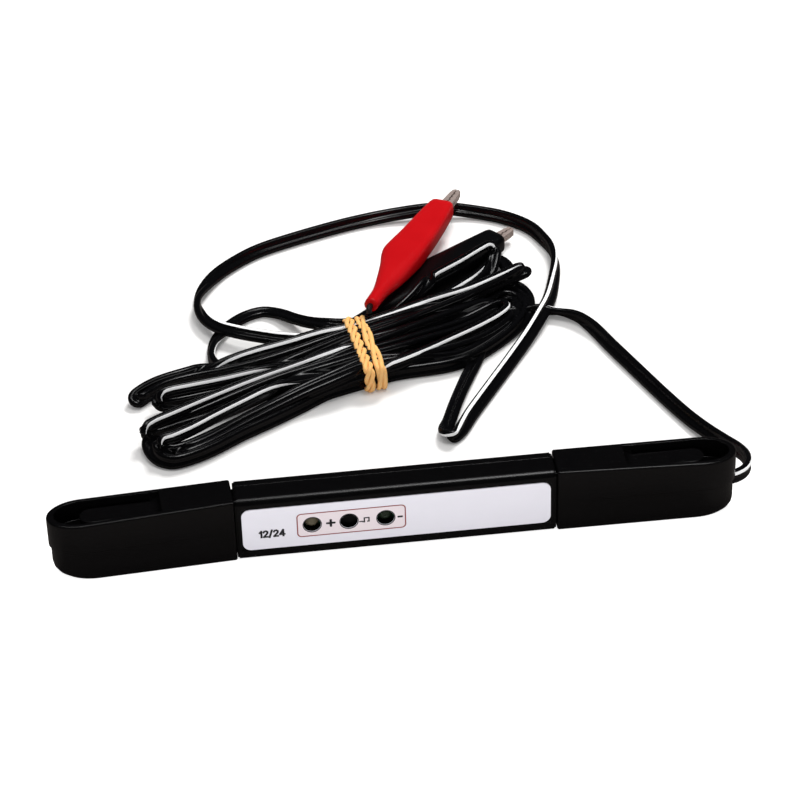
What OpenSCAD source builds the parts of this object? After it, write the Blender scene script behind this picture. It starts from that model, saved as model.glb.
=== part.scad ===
// Voltage test pen with a looped cap at each end, a flat two-core cord tied
// in a hank, and a red and a black crocodile clip. Millimetres. X runs along
// the pen towards the cord, Y away from the label face, Z up from the table.

/* [Middle section] */
// Length of the label on the middle section
label_len = 90; // [88.6:0.2:106]
// Distance from the label's ends to the seams
label_margin = 1.7; // [1.2:0.1:3]
// Depth of the pen from the label face to the rear face
body_d = 11.8; // [11.6:0.1:14]
// Height of the pen as it stands
body_h = 21; // [20.8:0.1:24]
// Wall thickness of the casing
wall = 1.5; // [1.3:0.1:1.6]
// Radius of the upper long edges
edge_top = 2.2; // [1.6:0.1:2.6]
// Radius of the lower long edges
edge_low = 1.5; // [1:0.1:2.2]
// How far the joint between the two shells lies behind the centre line
split_y = 2; // [1.6:0.1:2.2]
// Gap at each seam between the middle section and a cap
seam_gap = 0.4; // [0.4:0.05:0.8]
// Clearance between parts that slide into each other
fit = 0.15; // [0.1:0.05:0.25]

/* [Label and lamps] */
// Height of the label
label_h = 14.5; // [12:0.1:15]
// Diameter of the lamp and sounder holes
lamp_d = 5; // [4.8:0.1:5.4]
// Distance between neighbouring holes
lamp_pitch = 10.7; // [10:0.1:11.5]
// Place of the first hole along the pen
lamp_x = -24.7; // [-26:0.1:-23]

/* [End caps] */
// Length of each cap
cap_len = 53.6; // [53:0.2:58]
// Depth of a cap's upper half at its end
cap_end_d = 13.7; // [13.4:0.1:15]
// Depth of a cap's lower half at its end
cap_low_d = 12.6; // [12.2:0.1:13.2]
// How much a cap's top falls from the seam to its end
top_fall = 1.2; // [0:0.1:2]
// Height of the parting line round a cap
part_z = 10.4; // [9.8:0.1:11]
// Angle by which the pull-off cap sits crooked on its nose
cap_skew = 3; // [0:0.1:3.2]
// Distance from the seam to the looped opening
pocket_s = 20.4; // [19:0.1:22]
// Depth of the tongue inside the opening
tongue_d = 6.5; // [5.5:0.1:7]

/* [Probe] */
// Diameter of the probe needle
needle_d = 1.8; // [1.4:0.1:2]
// Length of the needle in front of the nose
needle_out = 25; // [18:0.5:26]
// Length of the noses that the caps sit on
nose_len = 8.5; // [7:0.1:8.6]

/* [Cord] */
// Width of the flat two-core cord
cord_w = 4.4; // [3.6:0.1:4.6]
// Thickness of the cord
cord_t = 2.2; // [1.8:0.1:2.4]
// Height of the tied hank
hank_h = 8.8; // [7:0.1:10]
// Thickness of the rubber bands
band_t = 1.3; // [0.8:0.1:1.5]

/* [Clips] */
// Length of a clip's plastic boot
boot_len = 66.5; // [65:0.5:68]
// Wall thickness of a boot
boot_wall = 0.8; // [0.6:0.05:0.85]
// Thickness of the clips' sheet metal
sheet = 0.55; // [0.4:0.05:0.6]
// Distance from a boot's tail to the clip's hinge
pivot_u = 44; // [43:0.5:45]
// Number of teeth on each jaw
teeth = 7; // [4:1:9]

/* [Hidden] */
$fn = 48;
e = 0.01;
slice = 0.05;
middle_len = label_len + 2 * label_margin;
half_len = middle_len / 2;
half_d = body_d / 2;
seam = half_len + seam_gap;
cap_a = 10;
groove = 0.35;
// Cavity and board
cav_x = half_len - wall;
cav_y = half_d - wall;
board_t = 1.2;
screw_in = 6.7;
screw_x = half_len - screw_in;
board_gap = 4;
board_l = 2 * (screw_x - board_gap);
board_h = 14;
board_y = cav_y - board_t;
board_z = body_h / 2 - board_h / 2;
lip = 1.2;
lip_t = 0.9;
screw_r = 1.1;
head_r = 1.9;
screw_l = 4.8;
screw_tip = 1;
res_r = 0.9;
res_l = 5;
res_z = 8;
res_x = [3.5, 20, 23, 26];
lead_r = 0.3;
lead_l = 2;
cap_in = 5;
pad_y = 3.3;
lamp_z = 10.7;
// Noses, and the bore and slot behind them
nose_low = wall + fit;
nose_d_probe = 7.6;
nose_d_cord = 8.6;
nose_wall = 1.2;
axis_z = 9.4;
bore_r = 3.4;
bore_end = 46;
floor_z = 13.7;
tongue_top = 18.6;
tongue_end = 44;
ramp_r = 3;
exit_z = 9;
// Flat cord where it hands over from one stretch to the next, as x, y, z
// and turn about its own line: 90 is on edge, 0 is flat on the table.
lead = [[50, 0, 9, 90], [60, 0, 9, 90], [80, 0, 9, 90], [96, 0, 9, 90], [100.5, 0.3, 9, 90],
    [104, 2.5, 8.8, 90], [106, 6, 8.4, 88], [106.6, 11, 7.4, 82], [105.6, 17, 5.8, 66],
    [102.6, 24, 4, 44], [98.5, 32, 2.6, 20], [94, 41, 1.5, 0], [88.5, 54, 1.2, 0], [82.5, 68, 1.2, 0],
    [77, 82, 1.2, 0], [72, 93.5, 1.2, 0], [67.5, 100, 1.2, 0], [62.5, 103.5, 1.2, 0], [56, 104.3, 1.2, 0]];
long_loop = [[30.6, 73.4, 1.8, 180], [28, 67.3, 1.4, 180], [24.8, 59.2, 1.2, 180], [21.6, 51.1, 1.2, 180], [19.4, 46, 1.6, 155],
    [19.6, 41.4, 2.2, 115], [21.4, 40.2, 2.4, 80], [23, 42.6, 2.2, 40], [25.2, 47, 1.6, 14], [27.8, 52.3, 1.2, 0],
    [35.4, 64.5, 1.2, 0], [44.6, 79.5, 1.4, 0], [52.4, 91, 2.6, 0], [58.6, 101, 3.8, 0], [62.8, 110, 3.2, 8],
    [66.6, 121.4, 2, 22], [69.2, 132.4, 1.9, 60], [69.6, 140.8, 2.2, 100], [68.3, 148.2, 1.9, 140], [65.7, 154.9, 1.4, 166],
    [58.7, 163.2, 1.2, 180], [49.3, 168.8, 2.1, 180], [42, 170.2, 3, 180], [34, 171, 3.3, 180], [25.1, 172.4, 2.6, 180],
    [13.5, 171.8, 1.6, 180], [-2.2, 170.1, 1.2, 180], [-16.8, 166.7, 1.2, 180], [-28.3, 162, 1.2, 184], [-38, 154.9, 1.2, 196],
    [-45.6, 145.4, 1.5, 220], [-49, 132.6, 2.1, 262], [-49, 123.6, 2.5, 300], [-47, 116.8, 3.2, 334], [-43, 110.4, 4.1, 354],
    [-37, 105.8, 4.4, 360], [-30, 101.6, 4.4, 360], [-24, 98.2, 4.4, 360]];
short_loop = [[-9.4, 101.6, 6.6, 180], [-14.6, 105.8, 5, 180], [-19.4, 111.8, 3, 180], [-24, 117.4, 1.7, 180], [-29, 120, 1.2, 180],
    [-34, 118.6, 1.2, 180], [-38.6, 115.2, 1.2, 180], [-42.2, 111, 1.2, 178], [-44.9, 106.4, 1.5, 158], [-46.6, 101.4, 2.1, 114],
    [-47.2, 97.4, 2.3, 92], [-47.3, 93.8, 2.3, 90]];
// Outline of the tied hank, seen from above
hank_line = [[-71.6, 51.5], [-70.9, 46.8], [-68.4, 43.2], [-64, 41], [-57.3, 41.4], [-50.6, 45], [-41.4, 51], [-32, 56.8],
    [-22, 63.2], [-13.3, 68.6], [-6, 71.6], [5, 72.4], [10, 75.4], [19.7, 76.5], [26.1, 77], [33.7, 79.2], [39.8, 83.6], [45.8, 89.2],
    [51.6, 96.6], [54.9, 101], [56.8, 107], [57.2, 114], [58.8, 121.6], [57.4, 124.2], [52.6, 125.6], [52.4, 131],
    [51.6, 135.6], [49.4, 137], [47, 135.6], [38.4, 127.4], [29.2, 119.4], [22.4, 114.8], [12.4, 108.4], [6.6, 103.8], [4.6, 101.6],
    [-4, 101], [-11, 99], [-20.6, 96.4], [-30.4, 92.6], [-40, 89.6], [-48, 87.6], [-58, 86.4], [-66, 83.6], [-71.6, 80.4],
    [-74.6, 77], [-73.4, 74.6], [-68, 73.6], [-67.4, 68.2], [-66.2, 62.6], [-71.4, 58.4], [-74, 55]];
band_at = [0.6, 86.5];
band_turn = 7;
band_w = 3.4;
core_y = 14.6;
core_low = 1.4;
core_top = hank_h - 0.9;
// A clip lies with its tail here, turned and tilted by these angles
red_tail = [4.5, 102.2, 12];
red_turn = 62.5;
red_tilt = 2.6;
red_shift = 1.3;
red_lean = -2;
black_tail = [-0.3, 104.9, 3.6];
black_turn = 39.2;
black_shift = -2.6;
black_lean = 0;
black_tilt = 0;
// Boot sections: place, left half, right half, half thickness
boot_rings = [[0, 2.3, 2.3, 2.3], [4, 2.3, 2.3, 2.3], [8, 2.5, 2.5, 2.4], [12, 3.2, 3.2, 2.7], [16.5, 4.2, 4.1, 3],
    [20, 5, 4.6, 3.2], [24, 6, 5, 3.4], [28.5, 7.4, 5.4, 3.5], [32, 8, 5.6, 3.6], [36, 7.7, 5.6, 3.6],
    [44, 6.7, 5.6, 3.5], [56, 5.5, 5.1, 3.4], [boot_len, 4.2, 4.2, 3.4]];
tip_u = 77;
jaw_w = 1.15;
frame_w = 2.1;
lever_w = 1.3;
gap = 0.15;
rivet_r = 1.1;
plastic = [0.03, 0.03, 0.035];
cord_black = [0.02, 0.02, 0.022];
nickel = [0.72, 0.7, 0.67];
rubber_tan = [0.88, 0.66, 0.38];

// Section of the middle, with its own radii above and below
module section(d, low, top, r_top, r_low) {
    for (s = [-1, 1]) {
        translate([s * (d / 2 - r_top), top - r_top]) circle(r = r_top);
        translate([s * (d / 2 - r_low), low + r_low]) circle(r = r_low);
    }
    translate([-d / 2, low + r_low]) square([d, top - r_top - low - r_low]);
    translate([-d / 2 + r_low, low]) square([d - 2 * r_low, top - r_top - low]);
    translate([-d / 2 + r_top, low + r_low]) square([d - 2 * r_top, top - low - r_low]);
}

// Sweeps a section drawn in Y and Z along X
module along(x0, x1) {
    translate([x0, 0, 0]) rotate([90, 0, 90]) linear_extrude(height = x1 - x0) children();
}

// A round bar from face y0 to face y1
module peg(x, z, r, y0, y1) {
    translate([x, y1, z]) rotate([90, 0, 0]) cylinder(r = r, h = y1 - y0);
}

module block(x0, x1, y0, y1, z0, z1) {
    translate([x0, y0, z0]) cube([x1 - x0, y1 - y0, z1 - z0]);
}

module middle_block() {
    along(-half_len + 0.5, half_len - 0.5) section(body_d, 0, body_h, edge_top, edge_low);
    along(-half_len, half_len) section(body_d - 2 * groove, groove, body_h - groove, edge_top - groove, edge_low - groove);
}

module nose(side, d) {
    x0 = side > 0 ? half_len - 0.5 : -half_len - nose_len;
    along(x0, x0 + nose_len + 0.5) section(d, nose_low, body_h - nose_low, 1, 1);
}

module nose_hollow(side, d) {
    inset = nose_wall;
    x0 = side > 0 ? cav_x - 1 : -half_len - nose_len + wall;
    length = half_len + nose_len - wall - cav_x + 1;
    along(x0, x0 + length) section(d - 2 * inset, nose_low + inset, body_h - nose_low - inset, 0.5, 0.5);
}

module front_shell() {
    color(plastic) difference() {
        union() {
            difference() {
                middle_block();
                block(-half_len - 1, half_len + 1, split_y, half_d + 1, -1, body_h + 1);
                block(-cav_x, cav_x, -cav_y, half_d, wall, body_h - wall);
            }
            nose(-1, nose_d_probe);
            nose(1, nose_d_cord);
            for (s = [-1, 1]) {
                peg(s * screw_x, body_h / 2, 2.5, -cav_y - e, pad_y);
                peg(s * 32, board_z + 2, 1.5, -cav_y - e, board_y);
                peg(s * 32, board_z + board_h - 2, 1.5, -cav_y - e, board_y);
            }
        }
        // Rear half of the seam stays with the rear shell
        block(-half_len, half_len, split_y, half_d, wall, body_h - wall - 17.2);
        nose_hollow(-1, nose_d_probe);
        nose_hollow(1, nose_d_cord);
        block(-half_len - e, half_len + e, pad_y, half_d + 1, 0, body_h);
        for (x = [-half_len, half_len - 0.5 - e]) block(x, x + 0.5 + e, split_y, half_d, 0, body_h);
        for (s = [-1, 1]) peg(s * screw_x, body_h / 2, screw_r, -1.2, half_d);
        block(-label_len / 2 - 0.2, label_len / 2 + 0.2, -half_d - 1, -half_d + 0.25, lamp_z - label_h / 2 - 0.2,
            lamp_z + label_h / 2 + 0.2);
        for (i = [0:2]) peg(lamp_x + i * lamp_pitch, lamp_z, lamp_d / 2 + 0.1, -half_d - 1, -cav_y + 1);
        translate([-half_len - nose_len - 1, 0, axis_z]) rotate([0, 90, 0]) cylinder(r = 2.2, h = 4);
        along(half_len + nose_len - 2, half_len + nose_len + 1) slot(3.6, 5.8);
    }
}

// Upright slot for the cord, round at both ends
module slot(d, h) {
    translate([-d / 2, exit_z - h / 2 + d / 2]) square([d, h - d]);
    for (s = [-1, 1]) translate([0, exit_z + s * (h - d) / 2]) circle(r = d / 2);
}

module rear_shell() {
    inner = wall + fit + lip_t;
    color(plastic) difference() {
        union() {
            intersection() {
                middle_block();
                block(-half_len - 1, half_len + 1, split_y, half_d + 1, -1, body_h + 1);
            }
            block(-cav_x + fit, cav_x - fit, split_y - lip, split_y + e, wall + fit, body_h - wall - fit);
        }
        difference() {
            block(-cav_x + fit + lip_t, cav_x - fit - lip_t, -half_d, cav_y, inner, body_h - inner);
            for (s = [-1, 1]) peg(s * screw_x, body_h / 2, 2.5, pad_y, half_d);
        }
        for (s = [-1, 1]) {
            peg(s * screw_x, body_h / 2, screw_r + fit, -half_d, half_d + 1);
            peg(s * screw_x, body_h / 2, 2.1, half_d - 1.2, half_d + 1);
        }
    }
}

// Flat-bottomed section with two rounded upper corners, or upside down
module half_section(d, low, top, r, up) {
    arc = [for (s = [1, -1]) for (k = [0:4]) [s * (d / 2 - r + r * cos(s > 0 ? 22.5 * k : 90 - 22.5 * k)),
        (up > 0 ? top : low) - up * (r - r * sin(s > 0 ? 22.5 * k : 90 - 22.5 * k))]];
    base = up > 0 ? low : top;
    polygon(concat(arc, [[-d / 2, base], [d / 2, base]]));
}

module oval(x, a, b, z) {
    translate([x, 0, z]) scale([a / b, 1, 1]) cylinder(r = b, h = slice, $fn = 48);
}

module cap_upper() {
    b = cap_end_d / 2;
    x = cap_len - cap_a;
    tilt = atan(top_fall / cap_len);
    hull() {
        along(0, slice) half_section(body_d - 0.6, part_z, body_h - 0.3, 0.4, 1);
        along(0.4, 0.4 + slice) half_section(body_d, part_z, body_h, 0.55, 1);
        oval(x, cap_a, b, part_z);
        translate([0, 0, body_h]) rotate([0, tilt, 0]) {
            oval(x, cap_a, b, -0.6);
            oval(x, cap_a - 0.1, b - 0.1, -0.32);
            oval(x, cap_a - 0.28, b - 0.28, -0.15);
            oval(x, cap_a - 0.55, b - 0.55, -slice);
        }
    }
}

module cap_lower(round_r) {
    b = cap_low_d / 2;
    x = cap_len - 0.6 - cap_a;
    hull() {
        along(0, slice) half_section(body_d - 0.6, 0.3, part_z, 0.4, -1);
        along(0.4, 0.4 + slice) half_section(body_d, 0, part_z, 0.6, -1);
        oval(x, cap_a, b, part_z - slice);
        for (k = [0:3]) oval(x - round_r * (1 - cos(22.5 * k)), cap_a, b - (k > 2 ? 0.15 : 0), round_r * (1 - sin(22.5 * k)));
        oval(x - round_r, cap_a - 0.4, b - 0.6, 0);
    }
}

// Looped opening in plan, from x = start, set in from the outline by the wall
module pocket_plan(start) {
    x = cap_len - cap_a;
    b = cap_end_d / 2 - wall;
    y = body_d / 2 + (cap_end_d - body_d) / 2 * start / x - wall;
    polygon(concat([[start, -y]], [for (k = [-12:12]) [x + (cap_a - 2.2) * cos(7.5 * k), b * sin(7.5 * k)]], [[start, y]]));
}

module tongue_plan() {
    translate([pocket_s, -tongue_d / 2]) square([tongue_end - tongue_d / 2 - pocket_s, tongue_d]);
    translate([tongue_end - tongue_d / 2, 0]) circle(r = tongue_d / 2);
}

// A cap with its seam at x = 0, running along +X
module cap(round_r) {
    difference() {
        union() {
            cap_upper();
            cap_lower(round_r);
        }
        along(-1, nose_len + 0.5) section(body_d - 2 * wall + 0.2, wall, body_h - wall, 1.1, 1.1);
        translate([nose_len, 0, axis_z]) rotate([0, 90, 0]) cylinder(r = bore_r, h = bore_end - nose_len);
        intersection() {
            translate([0, 0, tongue_top - e]) linear_extrude(height = 6) pocket_plan(pocket_s);
            union() {
                translate([pocket_s + ramp_r, 20, tongue_top + ramp_r]) rotate([90, 0, 0]) cylinder(r = ramp_r, h = 40);
                block(pocket_s + ramp_r, cap_len, -20, 20, tongue_top - e, 30);
                block(pocket_s + e, cap_len, -20, 20, tongue_top + ramp_r, 30);
            }
        }
        difference() {
            translate([0, 0, floor_z]) linear_extrude(height = tongue_top - floor_z) pocket_plan(pocket_s + ramp_r);
            translate([0, 0, floor_z - 1]) linear_extrude(height = 8) tongue_plan();
        }
    }
}

module probe_cap() {
    color(plastic) translate([-seam, 0, 0]) rotate([0, 0, cap_skew]) mirror([1, 0, 0]) cap(4.5);
}

module cord_cap() {
    color(plastic) difference() {
        translate([seam, 0, 0]) cap(3);
        along(seam + bore_end - 2, seam + cap_len + 2) slot(cord_t + 0.6, cord_w + 0.6);
    }
}

module label() {
    r = 2.5;
    color([0.88, 0.86, 0.91]) difference() {
        translate([0, -half_d + 0.25, lamp_z]) rotate([90, 0, 0]) linear_extrude(height = 0.3) {
            square([label_len - 2 * r, label_h], center = true);
            square([label_len, label_h - 2 * r], center = true);
            for (s = [-1, 1], t = [-1, 1]) translate([s * (label_len / 2 - r), t * (label_h / 2 - r)]) circle(r = r);
        }
        for (i = [0:2]) peg(lamp_x + i * lamp_pitch, lamp_z, lamp_d / 2, -half_d - 1, 0);
    }
}

module circuit_board() {
    color([0.05, 0.3, 0.14]) block(-board_l / 2, board_l / 2, board_y, board_y + board_t, board_z, board_z + board_h);
}

module led(x) {
    translate([x, board_y, lamp_z]) rotate([90, 0, 0]) rotate_extrude()
        polygon([[0, 0], [2.8, 0], [2.8, 1], [2.45, 1], [2.45, 5.6], [2.35, 6.3], [2.05, 6.95], [1.6, 7.45], [1.0, 7.8],
            [0, 8]]);
}

module led_plus() {
    color([0.85, 0.82, 0.8]) led(lamp_x);
}

module led_minus() {
    color([0.2, 0.35, 0.25]) led(lamp_x + 2 * lamp_pitch);
}

module buzzer() {
    x = lamp_x + lamp_pitch;
    color([0.1, 0.1, 0.1]) difference() {
        peg(x, lamp_z, 6, board_y - 5.4, board_y);
        peg(x, lamp_z, 1, board_y - 6, board_y - 4);
    }
}

module chip() {
    color([0.08, 0.08, 0.08]) block(8, 13, board_y - 1.6, board_y, 8.6, 12.6);
    color(nickel) for (i = [0:3]) for (z = [7.6, 12.6]) block(8.4 + 1.27 * i, 8.8 + 1.27 * i, board_y - 0.4, board_y, z, z + 1);
}

module resistors() {
    for (x = res_x) translate([x, board_y - res_r - 0.1, res_z]) {
        color([0.8, 0.7, 0.5]) cylinder(r = res_r, h = res_l);
        color(nickel) translate([0, 0, -lead_l]) cylinder(r = lead_r, h = lead_l);
        color(nickel) translate([0, 0, res_l]) cylinder(r = lead_r, h = lead_l);
    }
}

module transistors() {
    for (z = [5.9, 15.1]) color([0.09, 0.09, 0.09]) difference() {
        peg(15.6, z, 1.9, board_y - 4.6, board_y);
        block(13, 18, board_y - 5, board_y + 1, z + 1, z + 3);
    }
}

module capacitor() {
    color([0.1, 0.15, 0.4]) peg(board_l / 2 - cap_in, 10.5, 2.5, board_y - 5.6, board_y);
}

module probe_needle() {
    x = -half_len - nose_len - needle_out;
    color(nickel) translate([x, 0, axis_z]) rotate([0, 90, 0]) rotate_extrude()
        polygon([[0, 0], [0.15, 0.1], [needle_d / 2, 5], [needle_d / 2, needle_out + 2.6], [0, needle_out + 2.6]]);
}

module needle_collet() {
    x = -half_len - nose_len;
    color([0.78, 0.6, 0.3]) translate([x, 0, axis_z]) rotate([0, 90, 0]) difference() {
        rotate_extrude() polygon([[0, -4], [1.5, -4], [2.2, -2.6], [2.2, wall], [2.5, wall], [2.5, 3], [0, 3]]);
        translate([0, 0, -5]) cylinder(r = needle_d / 2, h = 5 + 2.6);
    }
}

// Ring of a flat cord at point p, across direction t, turned by roll
function unit(v) = v / norm(v);
function heading(line, i) = unit([for (k = [0:2]) line[min(i + 1, len(line) - 1)][k] - line[max(i - 1, 0)][k]]);
function cord_ring(p, t, w, h, n) =
    let (a = unit(cross([0, 0, 1], t)), b = cross(t, a), r = p[3])
    [for (k = [0:n - 1]) let (c = w / 2 * cos(360 / n * k + 180 / n), s = h / 2 * sin(360 / n * k + 180 / n))
        [p[0], p[1], p[2]] + (a * cos(r) + b * sin(r)) * c + (b * cos(r) - a * sin(r)) * s];

// Closed skin over a list of rings with n points each
module skin(rings, n) {
    m = len(rings);
    sides = [for (i = [0:m - 2]) for (k = [0:n - 1]) [i * n + k, i * n + (k + 1) % n, (i + 1) * n + (k + 1) % n, (i + 1) * n + k]];
    first = [for (k = [0:n - 1]) n - 1 - k];
    last = [for (k = [0:n - 1]) (m - 1) * n + k];
    polyhedron(points = [for (r = rings) for (q = r) q], faces = concat([for (f = sides) [f[0], f[3], f[2]]],
        [for (f = sides) [f[0], f[2], f[1]]], [[for (k = [0:n - 1]) first[n - 1 - k]]], [[for (k = [0:n - 1]) last[n - 1 - k]]]));
}

module cord(line, w, h) {
    skin([for (i = [0:len(line) - 1]) cord_ring(line[i], heading(line, i), w, h, 8)], 8);
}

module probe_wire() {
    x = -half_len - nose_len;
    color([0.5, 0.05, 0.05]) cord([[2 - board_l / 2, 1.9, 13, 0], [-37, 0.6, 14.6, 0], [-41, 0, 15.2, 0], [-45, 0, 14.4, 0], [-48, 0, 12.4, 0],
        [-50, 0, 10.4, 0], [x + 3.1, 0, axis_z, 0]], 1.3, 1.3);
}

module inner_wires() {
    for (s = [-1, 1]) color(s > 0 ? [0.5, 0.05, 0.05] : [0.12, 0.12, 0.12])
        cord([[board_l / 2 - 1.6, 1.9, 10.5 + s * 3, 0], [37, 0.6, 10.5 + s * 4.4, 0], [41, 0, 10.5 + s * 4.6, 0], [45, 0, 10 + s * 3, 0],
            [47.4, 0, 9.4 + s * 1.6, 0], [49.9, 0, exit_z + s * 1.1, 0]], 1.3, 1.3);
}

module cord_anchor() {
    x = half_len + nose_len;
    color([0.05, 0.05, 0.05]) difference() {
        union() {
            along(x - wall, x) slot(3.6, 5.8);
            along(x - wall - 1, x - wall) slot(4.8, 7);
        }
        along(x - wall - 2, x + 1) slot(cord_t + 0.1, cord_w + 0.1);
    }
}

module shell_screws() {
    for (s = [-1, 1]) color(nickel) difference() {
        translate([s * screw_x, half_d - 1.2, body_h / 2]) rotate([90, 0, 0]) rotate_extrude()
            polygon([[0, -screw_r], [head_r, -screw_r], [head_r, 0], [screw_r, 0], [screw_r, screw_l], [0, screw_l + screw_tip]]);
        block(s * screw_x - 1.4, s * screw_x + 1.4, half_d - 0.6, half_d, body_h / 2 - 0.25, body_h / 2 + 0.25);
        block(s * screw_x - 0.25, s * screw_x + 0.25, half_d - 0.6, half_d, body_h / 2 - 1.4, body_h / 2 + 1.4);
    }
}

module cord_lead() {
    color(cord_black) cord(lead, cord_w, cord_t);
}

module cord_long_loop() {
    color(cord_black) cord(long_loop, cord_w, cord_t);
}

module cord_short_loop() {
    color(cord_black) cord(short_loop, cord_w, cord_t);
}

module at_band() {
    translate([band_at[0], band_at[1], 0]) rotate([0, 0, band_turn]) children();
}

module cord_hank() {
    color(cord_black) difference() {
        linear_extrude(height = hank_h) polygon(hank_line);
        at_band() difference() {
            block(-band_w - 0.4, band_w + 0.4, -30, 30, -1, hank_h + 1);
            block(-band_w - 1, band_w + 1, -core_y, core_y, core_low, core_top);
        }
    }
}

module band(side) {
    x = side < 0 ? -band_w - 0.15 : 0.15;
    color(rubber_tan) at_band() difference() {
        block(x, x + band_w, -core_y - band_t, core_y + band_t, core_low - band_t, core_top + band_t);
        block(x - 1, x + band_w + 1, -core_y, core_y, core_low, core_top);
    }
}

module band_left() {
    band(-1);
}

module band_right() {
    band(1);
}

// A clip's own frame: X from its tail to its tip, Y across, Z out of its flat side
module jaws_red() {
    at_red() translate([pivot_u + red_shift, 0, 0]) rotate([0, 0, red_lean]) translate([-pivot_u, 0, 0]) children();
}

module at_red() {
    translate(red_tail) rotate([0, red_tilt, red_turn]) children();
}

module jaws_black() {
    at_black() translate([pivot_u + black_shift, 0, 0]) rotate([0, 0, black_lean]) translate([-pivot_u, 0, 0]) children();
}

module at_black() {
    translate(black_tail) rotate([0, black_tilt, black_turn]) children();
}

function soft(v) = sign(v) * pow(abs(v), 0.78);
function boot_ring(s, inset, du) = [for (k = [0:23]) let (c = soft(cos(15 * k)), d = soft(sin(15 * k)))
    [s[0] + du, (c > 0 ? s[1] - inset : s[2] - inset) * c, (s[3] - inset) * d]];

module boot() {
    m = len(boot_rings) - 1;
    difference() {
        skin([for (s = boot_rings) boot_ring(s, 0, 0)], 24);
        skin([for (i = [0:m]) boot_ring(boot_rings[i], boot_wall, i == 0 ? -e : (i == m ? e : 0))], 24);
    }
}

// Sheet-metal half clip: outline of its spine, open towards the other half
module channel(spine, inner, w) {
    back = [for (i = [len(spine) - 1:-1:0]) [spine[i][0], inner]];
    difference() {
        translate([0, 0, -w]) linear_extrude(height = 2 * w) polygon(concat(spine, back));
        translate([0, 0, -w + sheet]) linear_extrude(height = 2 * w - 2 * sheet)
            polygon(concat([for (i = [0:len(spine) - 1]) [spine[i][0], spine[i][1] + sheet]], [for (q = back) [q[0], q[1] + 3]]));
    }
}

module jaw_teeth(shift) {
    pitch = 14 / teeth;
    for (i = [0:teeth - 1]) translate([tip_u - 15.2 + pitch * (i + shift), 0, -3]) linear_extrude(height = 6)
        polygon([[-0.5 * pitch, 0.3], [0, -0.6], [0.5 * pitch, 0.3]]);
}

// Jaw beyond the hinge, drawn on the -Y side
module jaw_front() {
    channel([[51, -2.7], [58, -2.4], [65, -2.1], [tip_u - 5, -1.8], [tip_u - 2.2, -1.6], [tip_u - 0.8, -1.25], [tip_u - e, -0.7]],
        -gap, jaw_w);
    translate([tip_u - 1, -gap - 1.2, -jaw_w]) cube([0.5, 1.2, 2 * jaw_w]);
}

module fixed_jaw() {
    color(nickel) difference() {
        union() {
            difference() {
                jaw_front();
                jaw_teeth(0);
            }
            channel([[22, -2.6], [28, -3.1], [34, -3.4], [44, -3.4], [50, -2.9], [52.5, -2.6]], -0.9, frame_w);
            channel([[13.2, -1.7], [17, -2.15], [24, -2.75]], -0.2, 1.3);
            translate([pivot_u, 0, -frame_w]) cylinder(r = 2.4, h = 2 * frame_w);
        }
        translate([pivot_u, 0, -frame_w + sheet]) cylinder(r = 3, h = 2 * frame_w - 2 * sheet);
        translate([pivot_u, 0, -5]) cylinder(r = rivet_r, h = 10);
    }
}

module moving_jaw() {
    color(nickel) difference() {
        union() {
            mirror([0, 1, 0]) difference() {
                jaw_front();
                jaw_teeth(0.5);
            }
            mirror([0, 1, 0]) channel([[30, -5.2], [31, -5.4], [34, -5.3], [38, -4.6], [41, -3.9]], -3.5, lever_w);
            mirror([0, 1, 0]) channel([[39, -4.35], [41, -3.9], [44, -3.5], [50, -2.9], [52.5, -2.6]], -1, lever_w);
            translate([pivot_u, 0, -lever_w]) cylinder(r = 2.4, h = 2 * lever_w);
        }
        translate([pivot_u, 0, -lever_w + 0.5]) cylinder(r = 2.6, h = 2 * lever_w - 1);
        translate([pivot_u, 0, -5]) cylinder(r = rivet_r + 0.3, h = 10);
    }
}

module rivet() {
    color(nickel) translate([pivot_u, 0, 0]) rotate_extrude()
        polygon([[0, -2.5], [1.5, -2.5], [1.9, -frame_w], [rivet_r, -frame_w], [rivet_r, frame_w], [1.9, frame_w], [1.5, 2.5], [0, 2.5]]);
}

module rod(p, q, r) {
    d = q - p;
    translate(p) rotate([0, acos(d[2] / norm(d)), atan2(d[1], d[0])]) cylinder(r = r, h = norm(d));
}

module spring() {
    color([0.35, 0.35, 0.36]) {
        for (s = [-1, 1]) translate([pivot_u, 0, s * 0.32]) rotate_extrude() translate([1.85, 0]) circle(r = 0.3);
        rod([pivot_u, -1.85, -0.32], [36, -2.65, -0.32], 0.28);
        rod([pivot_u, 1.85, 0.32], [37, 3.8, 0.32], 0.28);
    }
}

// Point on a clip's centre line
function on_red(u) = concat(red_tail + u * [cos(red_tilt) * cos(red_turn), cos(red_tilt) * sin(red_turn), -sin(red_tilt)], [0]);
function on_black(u) = concat(black_tail + u * [cos(black_turn), sin(black_turn), 0], [0]);

module red_boot() {
    color([0.8, 0.03, 0.06]) at_red() boot();
}

module red_fixed_jaw() {
    jaws_red() fixed_jaw();
}

module red_moving_jaw() {
    jaws_red() moving_jaw();
}

module red_rivet() {
    jaws_red() rivet();
}

module red_spring() {
    jaws_red() spring();
}

module red_wire() {
    color([0.06, 0.05, 0.05]) cord([on_red(9.9), on_red(5), on_red(1), [4, 101.4, 12, 0], [3.8, 100.8, 11.5, 0], [3.8, 100.2, 10.4, 0]], 2, 2);
}

module black_boot() {
    color(cord_black) at_black() boot();
}

module black_fixed_jaw() {
    jaws_black() fixed_jaw();
}

module black_moving_jaw() {
    jaws_black() moving_jaw();
}

module black_rivet() {
    jaws_black() rivet();
}

module black_spring() {
    jaws_black() spring();
}

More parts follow.
